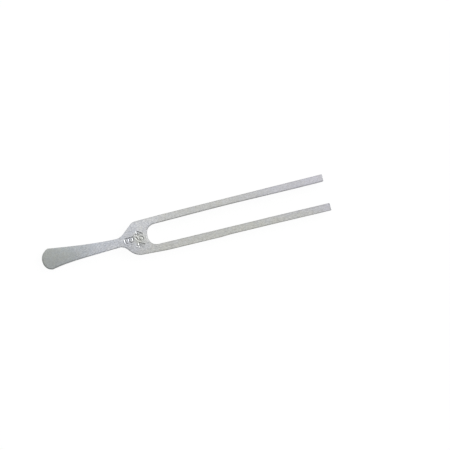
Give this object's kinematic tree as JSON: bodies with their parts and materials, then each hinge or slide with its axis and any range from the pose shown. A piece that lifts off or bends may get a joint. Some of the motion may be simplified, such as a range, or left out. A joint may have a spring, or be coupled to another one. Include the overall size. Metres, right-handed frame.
{
  "type": "tuning fork",
  "caption": "Flat aluminium tuning fork: straight square-ended prongs on a shouldered yoke with a spatula-shaped handle, struck to give or test a pitch.",
  "frame": {"origin": "on the flat underside, in the middle of the yoke, 4 mm behind the bottom of the slot", "axes": "+X along the fork towards the prong tips, +Y towards the left prong, +Z out of the stamped face"},
  "size_m": [0.11, 0.014, 0.0045],
  "materials": {
    "satin_metal": "satin"
  },
  "bodies": {
    "stem": {"handle": "satin_metal", "yoke": "satin_metal"},
    "left_prong": {"left_tine": "satin_metal"},
    "right_prong": {"right_tine": "satin_metal"}
  },
  "joints": [
    {"name": "left_prong_swing", "type": "hinge", "parent": "stem", "child": "left_prong", "pos_m": [0.00988, 0.00532, 0], "axis": [0, 0, 1], "range_deg": [-0.75, 0.75], "stiffness_Nm_per_rad": 0.5},
    {"name": "right_prong_swing", "type": "hinge", "parent": "stem", "child": "right_prong", "pos_m": [0.00988, -0.00532, 0], "axis": [0, 0, 1], "range_deg": [-0.75, 0.75], "stiffness_Nm_per_rad": 0.5}
  ],
  "couplings": [
    {"joint": "right_prong_swing", "follows": "left_prong_swing", "ratio": -1}
  ]
}
